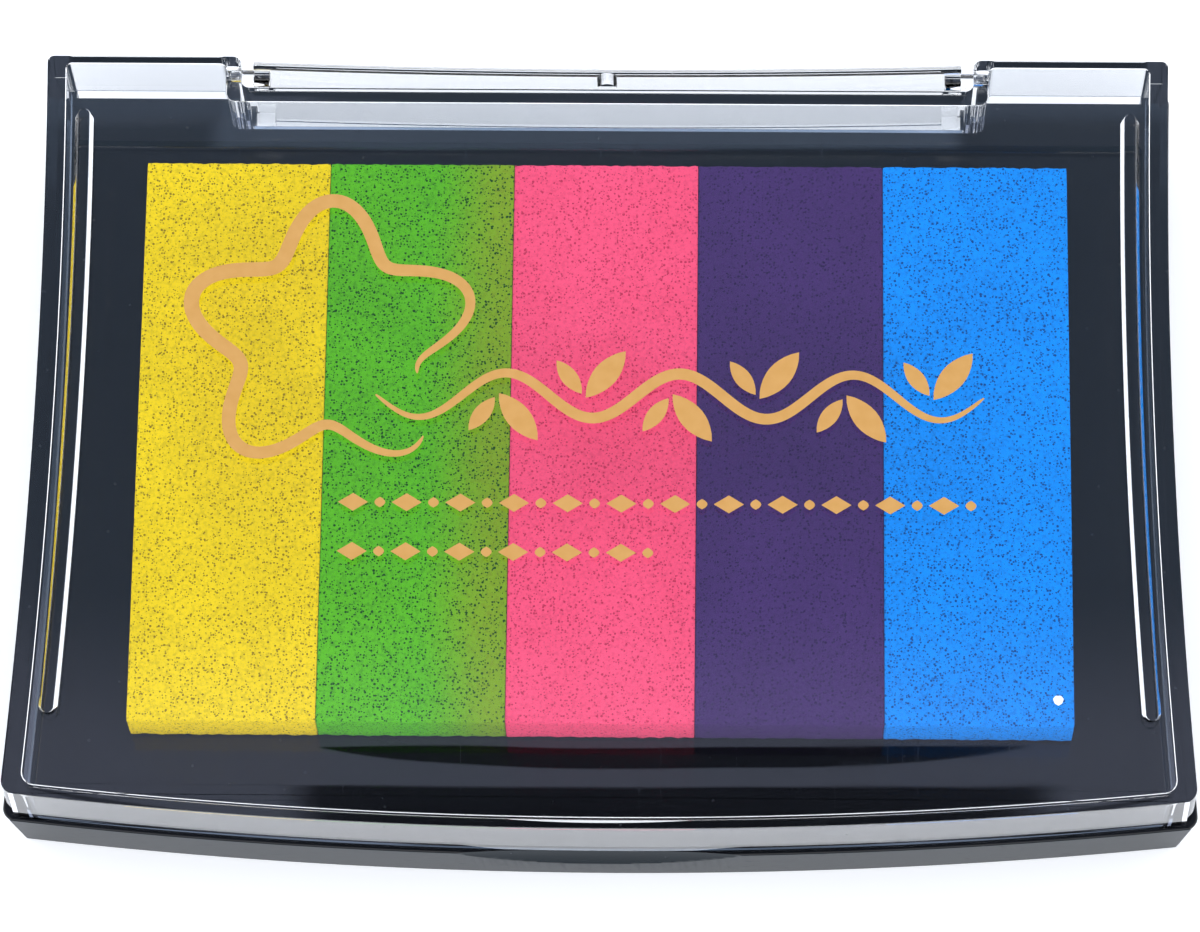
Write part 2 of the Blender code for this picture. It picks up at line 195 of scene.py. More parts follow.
def rounded(corners):
    """Plan points of a polygon of (x, y, radius) corners, with each radius turned into an arc."""
    points = []
    count = len(corners)
    for i, (x, y, radius) in enumerate(corners):
        if not radius:
            points.append((x, y))
            continue
        before, after = corners[i - 1], corners[(i + 1) % count]
        to_before = math.atan2(before[1] - y, before[0] - x)
        to_after = math.atan2(after[1] - y, after[0] - x)
        opening = (to_after - to_before + math.pi) % (2 * math.pi) - math.pi
        middle = to_before + opening / 2
        reach = radius / math.sin(abs(opening) / 2)
        centre_x = x + reach * math.cos(middle)
        centre_y = y + reach * math.sin(middle)
        swing = math.copysign(math.pi - abs(opening), opening)
        for step in range(ARC_STEPS + 1):
            angle = middle + math.pi + swing * (0.5 - step / ARC_STEPS)
            points.append(
                (centre_x + radius * math.cos(angle), centre_y + radius * math.sin(angle))
            )
    return points


def case_plan(side, front, rear_y, recess=None, shrink=0.0):
    """Case outline moved out by side and front, ending at rear_y.

    recess is (half width at its floor, floor y, flare to the rear edge) or None. shrink takes
    that much from the radii of the outer corners, as a parallel offset does.
    """
    corner_x, corner_y = WAIST_HALF_WIDTH, LID_FRONT_Y
    for _ in range(6):
        corner_y = front_y(corner_x) - front
        corner_x = side_x(corner_y) + side
    right = []
    for step in range(FRONT_STEPS):
        x = corner_x * step / FRONT_STEPS
        right.append((x, front_y(x) - front, 0))
    right.append((corner_x, corner_y, FRONT_CORNER_RADIUS - shrink))
    for step in range(1, SIDE_STEPS):
        y = corner_y + (rear_y - corner_y) * step / SIDE_STEPS
        right.append((side_x(y) + side, y, 0))
    right.append((side_x(rear_y) + side, rear_y, REAR_CORNER_RADIUS - shrink))
    if recess:
        half, floor_y, flare = recess
        right.append((half + flare, rear_y, RECESS_CORNER_RADIUS - shrink))
        right.append((half, floor_y, RECESS_CORNER_RADIUS + shrink))
    left = [(-x, y, radius) for x, y, radius in reversed(right[1:])]
    return rounded(right + left)


def rib_plan(sign, half_width):
    """Outline of a rib that runs parallel to the waisted side, with round ends."""
    front_end, rear_end = RIB_FRONT_Y + half_width, RIB_REAR_Y - half_width

    def centre(y):
        return sign * (side_x(y) - RIB_INSET)

    points = []
    for side, start, end in ((1, front_end, rear_end), (-1, rear_end, front_end)):
        for step in range(SIDE_STEPS + 1):
            y = start + (end - start) * step / SIDE_STEPS
            points.append((centre(y) + side * half_width, y))
        for step in range(1, ARC_STEPS * 2):
            angle = math.pi * step / (ARC_STEPS * 2)
            across, along = half_width * math.cos(angle), half_width * math.sin(angle)
            points.append((centre(end) + side * across, end + side * along))
    return points


def quarter(radius, steps=EDGE_STEPS):
    """(inset, rise) pairs of a quarter round, from the upright wall to the flat face."""
    pairs = []
    for step in range(steps + 1):
        angle = math.pi / 2 * step / steps
        pairs.append((radius * (1 - math.cos(angle)), radius * math.sin(angle)))
    return pairs


# ---------------------------------------------------------------- solids


def add_object(name, mesh):
    """Turns a bmesh, which is used up, into an object in the scene."""
    bmesh.ops.recalc_face_normals(mesh, faces=mesh.faces)
    data = bpy.data.meshes.new(name)
    mesh.to_mesh(data)
    mesh.free()
    thing = bpy.data.objects.new(name, data)
    bpy.context.scene.collection.objects.link(thing)
    return thing


def loft(name, levels):
    """Closed solid through outlines of equal point counts, as (points, z) from low to high."""
    mesh = bmesh.new()
    rings = [[mesh.verts.new((x, y, z)) for x, y in points] for points, z in levels]
    for low, high in zip(rings, rings[1:]):
        count = len(low)
        for i in range(count):
            j = (i + 1) % count
            mesh.faces.new((low[i], low[j], high[j], high[i]))
    mesh.faces.new(list(reversed(rings[0])))
    mesh.faces.new(rings[-1])
    return add_object(name, mesh)


def rod(name, radius, x_from, x_to, y, z, edge=0.0):
    """A round bar along X, its ends rounded by edge."""
    low, high = sorted((x_from, x_to))
    if edge:
        bend = quarter(edge, 3)
        profile = [(low + edge - rise, radius - inset) for inset, rise in reversed(bend)]
        profile += [(high - edge + rise, radius - inset) for inset, rise in bend]
    else:
        profile = [(low, radius), (high, radius)]
    mesh = bmesh.new()
    rings = []
    for x, size in profile:
        ring = []
        for step in range(ROUND_SIDES):
            angle = 2 * math.pi * step / ROUND_SIDES
            ring.append(mesh.verts.new((x, y + size * math.cos(angle), z + size * math.sin(angle))))
        rings.append(ring)
    for first, second in zip(rings, rings[1:]):
        for i in range(ROUND_SIDES):
            j = (i + 1) % ROUND_SIDES
            mesh.faces.new((first[i], first[j], second[j], second[i]))
    mesh.faces.new(rings[0])
    mesh.faces.new(rings[-1])
    return add_object(name, mesh)


def combine(thing, other, operation):
    """Boolean of thing with other, which is used up."""
    modifier = thing.modifiers.new(other.name, "BOOLEAN")
    modifier.operation = operation
    modifier.solver = "MANIFOLD"
    modifier.object = other
    apply_modifiers(thing)
    bpy.data.objects.remove(other)


def apply_modifiers(thing):
    """Keeps the modified shape as the object's own mesh."""
    graph = bpy.context.evaluated_depsgraph_get()
    graph.update()
    data = bpy.data.meshes.new_from_object(thing.evaluated_get(graph))
    thing.modifiers.clear()
    thing.data = data


def smooth(thing):
    """Round faces shade smooth and flat faces stay flat."""
    thing.data.shade_smooth()
    thing.data.set_sharp_from_angle(angle=SHARP_ANGLE)
    weighted = thing.modifiers.new("flat_faces", "WEIGHTED_NORMAL")
    weighted.keep_sharp = True
    weighted.weight = 100


def finish_piece(thing, material, body, slot, *replaced):
    """Gives a piece its material and its body, and hides the CAD nodes it stands for."""
    thing.data.materials.clear()
    thing.data.materials.append(material)
    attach(thing, body)
    if replaced:
        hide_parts(*replaced)


# ---------------------------------------------------------------- materials


class Nodes:
    """Short way to write a material's or the world's nodes."""

    def __init__(self, tree):
        self.tree = tree

    def add(self, kind, **settings):
        made = self.tree.nodes.new(kind)
        for name, value in settings.items():
            setattr(made, name, value)
        return made

    def link(self, output, socket):
        self.tree.links.new(output, socket)

    def put(self, socket, value):
        """Feeds a socket from another node's output, or sets it to a plain value."""
        if isinstance(value, bpy.types.NodeSocket):
            self.link(value, socket)
        else:
            socket.default_value = value

    def math(self, operation, first, second=0.0, third=0.0):
        made = self.add("ShaderNodeMath", operation=operation)
        for socket, value in zip(made.inputs, (first, second, third)):
            self.put(socket, value)
        return made.outputs[0]

    def step(self, value, low, high, to_low=0.0, to_high=1.0):
        """Smooth step of value from low..high to to_low..to_high, held at both ends."""
        made = self.add("ShaderNodeMapRange", interpolation_type="SMOOTHSTEP")
        for socket, number in zip(made.inputs, (value, low, high, to_low, to_high)):
            self.put(socket, number)
        return made.outputs[0]

    def noise(self, scale, detail=2.0, stretch=None, distortion=0.0):
        made = self.add("ShaderNodeTexNoise")
        made.inputs["Scale"].default_value = scale
        made.inputs["Detail"].default_value = detail
        made.inputs["Distortion"].default_value = distortion
        self.link(self.place(stretch), made.inputs["Vector"])
        return made.outputs["Fac"]

    def cells(self, scale):
        """Voronoi cells: distance to the nearest centre, and a colour for each cell."""
        made = self.add("ShaderNodeTexVoronoi")
        made.inputs["Scale"].default_value = scale
        self.link(self.place(), made.inputs["Vector"])
        return made.outputs["Distance"], made.outputs["Color"]

    def place(self, stretch=None):
        """Object coordinates in metres, multiplied by stretch."""
        where = self.add("ShaderNodeTexCoord").outputs["Object"]
        if not stretch:
            return where
        mapped = self.add("ShaderNodeMapping")
        mapped.inputs["Scale"].default_value = stretch
        self.link(where, mapped.inputs["Vector"])
        return mapped.outputs["Vector"]

    def mix(self, factor, first, second):
        made = self.add("ShaderNodeMix", data_type="RGBA")
        self.put(made.inputs["Factor"], factor)
        for socket, value in ((made.inputs[6], first), (made.inputs[7], second)):
            self.put(socket, value if isinstance(value, bpy.types.NodeSocket) else (*value, 1))
        return made.outputs[2]

    def bump(self, height, distance, strength=1.0, before=None):
        made = self.add("ShaderNodeBump")
        made.inputs["Distance"].default_value = distance
        made.inputs["Strength"].default_value = strength
        self.link(height, made.inputs["Height"])
        if before:
            self.link(before, made.inputs["Normal"])
        return made.outputs["Normal"]


def new_material(name):
    """A node material, the short way to write its nodes, and its Principled shader."""
    material = bpy.data.materials.new(name)
    material.use_nodes = True
    shader = material.node_tree.nodes["Principled BSDF"]
    return material, Nodes(material.node_tree), shader


def moulded_black(name, base, gloss, grain=0.0, side=None):
    """Moulded black plastic: gloss that varies with flow, faint haze, dust and fine scratches.

    gloss is its mean roughness and grain adds to the depth of its fine texture. side is the
    colour of its upright faces, a painted bluish reflection, or None; those faces also reflect
    less.
    """
    material, nodes, shader = new_material(name)
    flow = nodes.noise(60, 4, (1, 0.35, 1))
    haze = nodes.noise(700, 3)
    scratch = nodes.noise(900, 3, (1, 0.02, 1), 0.6)
    dust, _ = nodes.cells(420)
    speck = nodes.step(dust, 0.045, 0.07, 1.0, 0.0)
    tint = nodes.mix(flow, [c * 0.8 for c in base], [c * 1.3 for c in base])
    if side:
        facing = nodes.add("ShaderNodeSeparateXYZ")
        nodes.link(nodes.add("ShaderNodeTexCoord").outputs["Normal"], facing.inputs[0])
        upright = nodes.step(nodes.math("ABSOLUTE", facing.outputs[2]), 0.35, 0.75, 1.0, 0.0)
        # painted reflection: the upright faces take the bluish side colour in place of reflected
        # light
        tint = nodes.mix(upright, tint, side)
        level = nodes.math("MULTIPLY_ADD", upright, -0.27, 0.29)
        nodes.link(level, shader.inputs["Specular IOR Level"])
    dusty = nodes.mix(nodes.math("MULTIPLY", speck, 0.05), tint, (0.4, 0.42, 0.45))
    nodes.link(dusty, shader.inputs["Base Color"])
    rough = nodes.step(flow, 0.3, 0.75, gloss * 0.8, gloss * 1.35)
    rough = nodes.math("ADD", rough, nodes.step(haze, 0.45, 0.8, 0.0, 0.05))
    rough = nodes.math("ADD", rough, nodes.step(scratch, 0.62, 0.7, 0.0, 0.08))
    nodes.link(rough, shader.inputs["Roughness"])
    wave = nodes.bump(nodes.noise(45, 2), 0.00005, 0.35)
    fine = nodes.bump(nodes.noise(2600, 2), 0.000012 + grain, 0.5, wave)
    nodes.link(fine, shader.inputs["Normal"])
    shader.inputs["IOR"].default_value = 1.5
    shader.inputs["Specular IOR Level"].default_value = 0.29
    return material


def clear_plastic(name, tint, haze):
    """Clear polystyrene. Shadow and diffuse rays pass straight through and light what is below."""
    material, nodes, shader = new_material(name)
    shader.inputs["Transmission Weight"].default_value = 1.0
    shader.inputs["Specular IOR Level"].default_value = 0.42
    shader.inputs["IOR"].default_value = 1.57
    smear = nodes.noise(35, 4, (1, 0.5, 1), 0.4)
    hairline = nodes.noise(1500, 2, (1, 0.015, 1), 0.8)
    rough = nodes.step(smear, 0.5, 0.8, 0.0, haze)
    rough = nodes.math("ADD", rough, nodes.step(hairline, 0.66, 0.74, 0.0, haze * 1.5))
    nodes.link(rough, shader.inputs["Roughness"])
    paler = [min(1.0, c * 1.01) for c in tint]
    nodes.link(nodes.mix(smear, tint, paler), shader.inputs["Base Color"])
    nodes.link(nodes.bump(nodes.noise(30, 1), 0.00004, 0.25), shader.inputs["Normal"])
    output = material.node_tree.nodes["Material Output"]
    path = nodes.add("ShaderNodeLightPath")
    through = nodes.add("ShaderNodeBsdfTransparent")
    through.inputs["Color"].default_value = (0.93, 0.945, 0.96, 1)
    lamp = nodes.add("ShaderNodeMixShader")
    nodes.link(path.outputs["Is Shadow Ray"], lamp.inputs[0])
    nodes.link(shader.outputs[0], lamp.inputs[1])
    nodes.link(through.outputs[0], lamp.inputs[2])
    bounce = nodes.add("ShaderNodeMixShader")
    nodes.link(path.outputs["Is Diffuse Ray"], bounce.inputs[0])
    nodes.link(lamp.outputs[0], bounce.inputs[1])
    nodes.link(through.outputs[0], bounce.inputs[2])
    nodes.link(bounce.outputs[0], output.inputs["Surface"])
    return material


def inked_foam(name, ink, dark, pore_share, bleed=None):
    """Open-cell foam soaked with ink: fine grain, pores painted dark for the shade inside them, and
    a neighbour's ink bleeding in.

    pore_share is the share of cells that are pores. bleed is (x where it starts, x where it is
    full, colour, most) or None.
    """
    material, nodes, shader = new_material(name)
    cloud = nodes.noise(110, 3)
    grain = nodes.noise(2400, 3)
    fine = nodes.noise(5200, 2)
    thin, thick = [min(1, c * 1.05) for c in ink], [c * 0.95 for c in ink]
    colour = nodes.mix(nodes.step(cloud, 0.3, 0.7), thick, thin)
    colour = nodes.mix(nodes.step(grain, 0.55, 0.3, 0.0, 0.30), colour, dark)
    colour = nodes.mix(nodes.step(fine, 0.5, 0.3, 0.0, 0.15), colour, dark)
    if bleed:
        start, full, other, most = bleed
        spot = nodes.add("ShaderNodeSeparateXYZ")
        nodes.link(nodes.place(), spot.inputs[0])
        edge = nodes.math("ADD", spot.outputs[0], nodes.math("MULTIPLY", cloud, 0.0035))
        colour = nodes.mix(nodes.step(edge, start, full, 0.0, most), colour, other)
    holes = None
    for scale, size in ((2500, 0.32), (3500, 0.34)):
        distance, cell = nodes.cells(scale)
        pick = nodes.add("ShaderNodeSeparateColor")
        nodes.link(cell, pick.inputs[0])
        open_cell = nodes.math("LESS_THAN", pick.outputs[0], pore_share)
        reach = nodes.math("MULTIPLY_ADD", pick.outputs[1], size * 0.8, size * 0.45)
        inside = nodes.step(nodes.math("DIVIDE", distance, reach), 0.7, 1.0, 1.0, 0.0)
        hole = nodes.math("MULTIPLY", open_cell, inside)
        holes = hole if holes is None else nodes.math("MAXIMUM", holes, hole)
    # painted shade: the pores, which the bump below sinks, take the dark colour
    colour = nodes.mix(holes, colour, dark)
    nodes.link(colour, shader.inputs["Base Color"])
    nodes.link(nodes.step(grain, 0.3, 0.7, 0.72, 0.95), shader.inputs["Roughness"])
    shader.inputs["Specular IOR Level"].default_value = 0.05
    height = nodes.math("SUBTRACT", nodes.math("MULTIPLY", fine, 0.5), holes)
    nodes.link(nodes.bump(height, 0.00012, 0.6), shader.inputs["Normal"])
    return material


def tan_ink():
    """Opaque printing ink on the lid, a little uneven in cover."""
    material, nodes, shader = new_material("tan_ink")
    patchy = nodes.noise(900, 3)
    tan = nodes.mix(patchy, (0.52, 0.268, 0.066), (0.60, 0.322, 0.088))
    nodes.link(tan, shader.inputs["Base Color"])
    nodes.link(nodes.step(patchy, 0.3, 0.7, 0.32, 0.5), shader.inputs["Roughness"])
    nodes.link(nodes.bump(nodes.noise(4000, 2), 0.00001, 0.5), shader.inputs["Normal"])
    return material


def paper():
    """Uncoated paper with fibres and a slightly toned surface."""
    material, nodes, shader = new_material("label_paper")
    fibres = nodes.noise(1500, 4, (1, 0.3, 1), 1.0)
    tone = nodes.noise(40, 3)
    base = nodes.mix(tone, (0.80, 0.79, 0.75), (0.88, 0.875, 0.85))
    base = nodes.mix(nodes.step(fibres, 0.6, 0.75, 0.0, 0.25), base, (0.66, 0.64, 0.58))
    nodes.link(base, shader.inputs["Base Color"])
    nodes.link(nodes.step(fibres, 0.3, 0.7, 0.62, 0.85), shader.inputs["Roughness"])
    nodes.link(nodes.bump(fibres, 0.00002, 0.6), shader.inputs["Normal"])
    return material


def tape():
    """Cream double-sided tape: crossed threads under a dull film."""
    material, nodes, shader = new_material("backing_tape")
    warp = nodes.noise(1400, 1, (1, 0.05, 1))
    weft = nodes.noise(1400, 1, (0.05, 1, 1))
    weave = nodes.math("MAXIMUM", warp, weft)
    cream = nodes.mix(weave, (0.62, 0.60, 0.53), (0.80, 0.78, 0.71))
    nodes.link(cream, shader.inputs["Base Color"])
    nodes.link(nodes.step(weave, 0.4, 0.7, 0.5, 0.75), shader.inputs["Roughness"])
    nodes.link(nodes.bump(weave, 0.00003, 0.6), shader.inputs["Normal"])
    return material


def frosted():
    """The scar that the moulding gate leaves: clear plastic gone white."""
    material, nodes, shader = new_material("gate_scar")
    grit = nodes.noise(6000, 3)
    nodes.link(nodes.mix(grit, (0.75, 0.80, 0.86), (0.95, 0.97, 1.0)), shader.inputs["Base Color"])
    nodes.link(nodes.step(grit, 0.3, 0.7, 0.35, 0.6), shader.inputs["Roughness"])
    nodes.link(nodes.bump(grit, 0.00003, 0.7), shader.inputs["Normal"])
    return material


# ---------------------------------------------------------------- lid


def lid_outline(inset, side, front, rear=0.0):
    """Outline of the lid, moved out by side, front and rear and in by inset.

    Only its front edge takes the whole inset, since the photo shows the others nearly sharp.
    """
    less = LID_EDGE_SHARE * inset
    return case_plan(
        side - less,
        front - inset,
        CASE_HALF_DEPTH + rear - less,
        (LID_RECESS_HALF + less, LID_RECESS_Y - less, 0),
        less,
    )


def lid_inside(inset):
    """Outline of the lid's hollow, moved further in by inset."""
    return case_plan(
        -LID_SIDE_WALL - inset,
        -LID_FRONT_WALL - inset,
        CASE_HALF_DEPTH - LID_BOX_REAR_WALL - inset,
        (LID_RECESS_HALF + LID_BOX_SIDE_WALL + inset, LID_RECESS_Y - LID_RECESS_WALL - inset, 0),
        inset,
    )


def make_lid(material):
    """Thick waisted side walls, thin front wall, two rear boxes beside the recess, and two ribs."""
    shoulder_z = LID_TOP_Z - LID_EDGE
    foot = (LID_DRAFT, LID_FRONT_FOOT, LID_REAR_FOOT)
    levels = [(lid_outline(LID_FOOT_EDGE, *foot), LID_BOTTOM_Z)]
    levels.append((lid_outline(0, *foot), LID_BOTTOM_Z + LID_FOOT_EDGE))
    for inset, rise in quarter(LID_EDGE):
        levels.append((lid_outline(inset, 0, LID_FRONT_TOP), shoulder_z + rise))
    lid = loft("lid_clear_shell", levels)
    ceiling = LID_TOP_Z - LID_PANEL
    levels = [(lid_inside(0), LID_BOTTOM_Z - CUT)]
    for inset, rise in quarter(LID_FILLET):
        levels.append((lid_inside(inset), ceiling - LID_FILLET + rise))
    combine(lid, loft("lid_hollow", levels), "DIFFERENCE")
    for sign in (-1, 1):
        combine(lid, lid_rib(sign), "UNION")
        bore = rod(
            "lid_pin_bore",
            PIN_HOLE_RADIUS,
            sign * (LID_RECESS_HALF - CUT),
            sign * (LID_RECESS_HALF + LID_BOX_SIDE_WALL + BORE_OVERSHOOT),
            AXIS_Y,
            LID_AXIS_Z,
        )
        combine(lid, bore, "DIFFERENCE")
    smooth(lid)
    finish_piece(lid, material, "lid", "lid_clear", "clear_lid")


def lid_rib(sign):
    """A low rib with sloping flanks and a rounded crest."""
    levels = [
        (rib_plan(sign, RIB_HALF_WIDTH), LID_TOP_Z - LID_PANEL / 2),
        (rib_plan(sign, RIB_HALF_WIDTH), LID_TOP_Z + RIB_FOOT_RISE),
    ]
    for inset, rise in quarter(RIB_CREST_EDGE, 4):
        half = RIB_TOP_HALF_WIDTH + RIB_CREST_EDGE - inset
        levels.append((rib_plan(sign, half), LID_TOP_Z + RIB_HEIGHT - RIB_CREST_EDGE + rise))
    return loft("lid_rib", levels)


# ---------------------------------------------------------------- tray


def tray_outline(inset, taper, rear_inset=None):
    """Outline of the tray, moved in by inset and taper, or by rear_inset at the rear edge."""
    if rear_inset is None:
        rear_inset = inset
    return case_plan(
        RIM_SIDE - inset - taper,
        RIM_FRONT - inset - taper,
        CASE_HALF_DEPTH - rear_inset - taper / 2,
        (TRAY_RECESS_HALF + inset, TRAY_RECESS_Y - inset, TRAY_RECESS_FLARE),
        min(MOST_CORNER_SHRINK, inset),
    )


def well_outline(inset):
    """Outline of the shallow well in the deck, moved in by inset."""
    return case_plan(
        RIM_SIDE - WELL_SIDE_WALL - inset,
        RIM_FRONT - WELL_FRONT_WALL - inset,
        WELL_REAR_Y - inset,
        None,
        inset,
    )


def make_tray(material):
    """Skirt, deck with a shallow well, thumb scoop in front, notches and hinge ears at the rear."""
    levels = []
    for inset, rise in reversed(quarter(TRAY_FOOT_EDGE, 3)):
        levels.append((tray_outline(inset, TRAY_TAPER), TRAY_FOOT_EDGE - rise))
    for inset, rise in quarter(RIM_EDGE, 4):
        outline = tray_outline(inset, 0, REAR_EDGE_SHARE * inset)
        levels.append((outline, RIM_Z - RIM_EDGE + rise))
    tray = loft("tray_black_shell", levels)
    levels = []
    for inset, rise in reversed(quarter(WELL_FILLET, 4)):
        levels.append((well_outline(inset), WELL_FLOOR_Z + WELL_FILLET - rise))
    levels.append((well_outline(0), RIM_Z - WELL_LIP))
    levels.append((well_outline(-WELL_LIP * 0.3), RIM_Z - WELL_LIP * 0.3))
    levels.append((well_outline(-WELL_LIP), RIM_Z + 0.01 * MM))
    levels.append((well_outline(-WELL_LIP), RIM_Z + CUT))
    combine(tray, loft("tray_well", levels), "DIFFERENCE")
    under = tray_outline(TRAY_WALL, TRAY_TAPER)
    combine(tray, loft("tray_hollow", [(under, -CUT), (under, UNDER_DECK_Z)]), "DIFFERENCE")
    mouth = tray_outline(TRAY_SKIRT, TRAY_TAPER)
    seat_top = COVER_TOP_Z + COVER_GAP
    combine(tray, loft("tray_cover_seat", [(mouth, -CUT), (mouth, seat_top)]), "DIFFERENCE")
    combine(tray, thumb_scoop(), "DIFFERENCE")
    for sign in (-1, 1):
        combine(tray, rear_notch(sign), "DIFFERENCE")
    for sign in (-1, 1):
        combine(tray, hinge_ear(sign), "UNION")
        bore = rod(
            "ear_bore",
            PIN_HOLE_RADIUS,
            sign * (EAR_OUTER_X - EAR_THICK - CUT / 2),
            sign * (EAR_OUTER_X + CUT / 2),
            AXIS_Y,
            TRAY_AXIS_Z,
        )
        combine(tray, bore, "DIFFERENCE")
    smooth(tray)
    finish_piece(tray, material, "base", "tray_black", "tray")


def rear_notch(sign):
    """A shallow notch in the tray's rear edge below one of the lid's boxes."""
    near, far = REAR_NOTCH_X
    left, right = sorted((sign * near, sign * far))
    front = CASE_HALF_DEPTH - REAR_NOTCH_DEPTH
    rear = CASE_HALF_DEPTH + CUT
    plan = [(left, front), (right, front), (right, rear), (left, rear)]
    return loft("rear_notch", [(plan, -CUT), (plan, RIM_Z + CUT)])


def thumb_scoop():
    """An ellipsoid that bites the tray's front edge."""
    mesh = bmesh.new()
    bmesh.ops.create_uvsphere(mesh, u_segments=96, v_segments=48, radius=1)
    for vertex in mesh.verts:
        for axis in range(3):
            vertex.co[axis] = vertex.co[axis] * SCOOP_SEMI_AXES[axis] + SCOOP_CENTRE[axis]
    return add_object("thumb_scoop", mesh)


def hinge_ear(sign):
    """A round-ended lug behind the tray, in the YZ plane, that carries one lower pin."""
    root = TRAY_RECESS_Y - CUT / 2
    profile = [(root, TRAY_AXIS_Z + EAR_RADIUS)]
    for step in range(ARC_STEPS * 2 + 1):
        angle = math.pi / 2 - math.pi * step / (ARC_STEPS * 2)
        profile.append(
            (AXIS_Y + EAR_RADIUS * math.cos(angle), TRAY_AXIS_Z + EAR_RADIUS * math.sin(angle))
        )
    profile.append((root, TRAY_AXIS_Z - EAR_RADIUS))
    mesh = bmesh.new()
    faces = []
    for x in (sign * (EAR_OUTER_X - EAR_THICK), sign * EAR_OUTER_X):
        faces.append([mesh.verts.new((x, y, z)) for y, z in profile])
    count = len(profile)
    for i in range(count):
        j = (i + 1) % count
        mesh.faces.new((faces[0][i], faces[0][j], faces[1][j], faces[1][i]))
    for ring in faces:
        mesh.faces.new(ring)
    return add_object("hinge_ear", mesh)


def make_cover(material):
    """Plate that closes the tray from below, with a pocket for the label and softened edges."""
    rim = TRAY_SKIRT + COVER_GAP
    levels = []
    for inset, rise in reversed(quarter(COVER_EDGE, 3)):
        levels.append((tray_outline(rim + inset, TRAY_TAPER), COVER_EDGE - rise))
    levels.append((tray_outline(rim, TRAY_TAPER), COVER_TOP_Z))
    cover = loft("cover_plate", levels)
    label_low, label_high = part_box("blank_label")
    left, right = label_low.x - LABEL_MARGIN, label_high.x + LABEL_MARGIN
    front, rear = label_low.y - LABEL_MARGIN, label_high.y + LABEL_MARGIN
    plan = ((left, front), (right, front), (right, rear), (left, rear))
    pocket = rounded([(x, y, LABEL_CORNER) for x, y in plan])
    pocket_top = label_high.z + LABEL_HEADROOM
    combine(cover, loft("label_pocket", [(pocket, -CUT), (pocket, pocket_top)]), "DIFFERENCE")
    smooth(cover)
    finish_piece(cover, material, "base", "cover_black", "bottom_cover")


# ---------------------------------------------------------------- link


def link_section(x):
    """Cross-section of the bowed link plate at x, as (y, z) points."""
    bow = LINK_BOW * (1 - (x / LINK_HALF_WIDTH) ** 2)
    front = AXIS_Y + LINK_OFFSET - bow
    back = front + LINK_THICK
    return rounded(
        [
            (front, LINK_LOW.z, LINK_EDGE / 2),
            (back, LINK_LOW.z, LINK_EDGE),
            (back, LINK_HIGH.z, LINK_EDGE),
            (front, LINK_HIGH.z, LINK_EDGE / 2),
        ]
    )


def make_link(material):
    """Clear bowed plate with a boss and a stub pin at each of its four corners."""
    mesh = bmesh.new()
    rings = []
    for step in range(FRONT_STEPS + 1):
        x = LINK_HALF_WIDTH * (2 * step / FRONT_STEPS - 1)
        rings.append([mesh.verts.new((x, y, z)) for y, z in link_section(x)])
    for first, second in zip(rings, rings[1:]):
        count = len(first)
        for i in range(count):
            j = (i + 1) % count
            mesh.faces.new((first[i], first[j], second[j], second[i]))
    mesh.faces.new(rings[0])
    mesh.faces.new(rings[-1])
    link = add_object("link_clear_plate", mesh)
    for z, pin_end in ((LID_AXIS_Z, LINK_HIGH.x), (TRAY_AXIS_Z, TRAY_PIN_END_X)):
        for sign in (-1, 1):
            inner = sign * BOSS_INNER_X
            outer = sign * LINK_HALF_WIDTH
            boss = rod("link_boss", BOSS_RADIUS, inner, outer, AXIS_Y, z, ROD_EDGE)
            combine(link, boss, "UNION")
            inner += sign * PIN_SETBACK
            pin = rod("link_pin", PIN_RADIUS, inner, sign * pin_end, AXIS_Y, z, ROD_EDGE)
            combine(link, pin, "UNION")
    combine(link, link_notch(), "DIFFERENCE")
    smooth(link)
    finish_piece(link, material, "link", "link_clear", "hinge_link")


def link_notch():
    """Upright half-round notch in the middle of the link's front face."""
    front = AXIS_Y + LINK_OFFSET - LINK_BOW
    centre_y = front + LINK_NOTCH_DEPTH - LINK_NOTCH_RADIUS
    plan = []
    for step in range(ROUND_SIDES):
        angle = 2 * math.pi * step / ROUND_SIDES
        plan.append(
            (LINK_NOTCH_RADIUS * math.cos(angle), centre_y + LINK_NOTCH_RADIUS * math.sin(angle))
        )
    return loft("link_notch", [(plan, LINK_HIGH.z - LINK_NOTCH_HEIGHT), (plan, LINK_HIGH.z + CUT)])


# ---------------------------------------------------------------- pad


FOAM_CELL = 0.32 * MM
FOAM_ROUND = 0.10 * MM
FOAM_BULGE = 0.047 * MM
FOAM_SINK = 0.05 * MM
FOAM_PORES = 0.13 * MM
FOAM_WAVES = 0.04 * MM

# for each strip: the ink's colour, the dark colour of its grain and of the painted shade in its
# pores, and the share of cells that are pores
INKS = {
    "yellow": ((0.90, 0.64, 0.0), (0.30, 0.19, 0.0), 0.62),
    "green": ((0.105, 0.47, 0.006), (0.004, 0.06, 0.002), 0.78),
    "pink": ((1.0, 0.088, 0.19), (0.56, 0.028, 0.08), 0.6),
    "purple": ((0.060, 0.024, 0.125), (0.025, 0.010, 0.06), 0.6),
    "blue": ((0.0, 0.265, 0.86), (0.0, 0.06, 0.25), 0.72),
}


def foam_block(name, low, high):
    """Rounded block of foam on a fine lattice, its faces slightly uneven and its edges ragged."""
    size = high - low
    counts = [max(2, round(length / FOAM_CELL)) for length in size]
    mesh = bmesh.new()
    made = {}

    def corner(i, j, k):
        key = (i, j, k)
        if key not in made:
            at = Vector((size[a] * key[a] / counts[a] for a in range(3))) + low
            made[key] = mesh.verts.new(soft_point(at, low, high))
        return made[key]

    for axis in range(3):
        first, second = (axis + 1) % 3, (axis + 2) % 3
        for end in (0, counts[axis]):
            for u in range(counts[first]):
                for v in range(counts[second]):
                    face = []
                    for du, dv in ((0, 0), (1, 0), (1, 1), (0, 1)):
                        key = [0, 0, 0]
                        key[axis], key[first], key[second] = end, u + du, v + dv
                        face.append(corner(*key))
                    mesh.faces.new(face)
    return add_object(name, mesh)


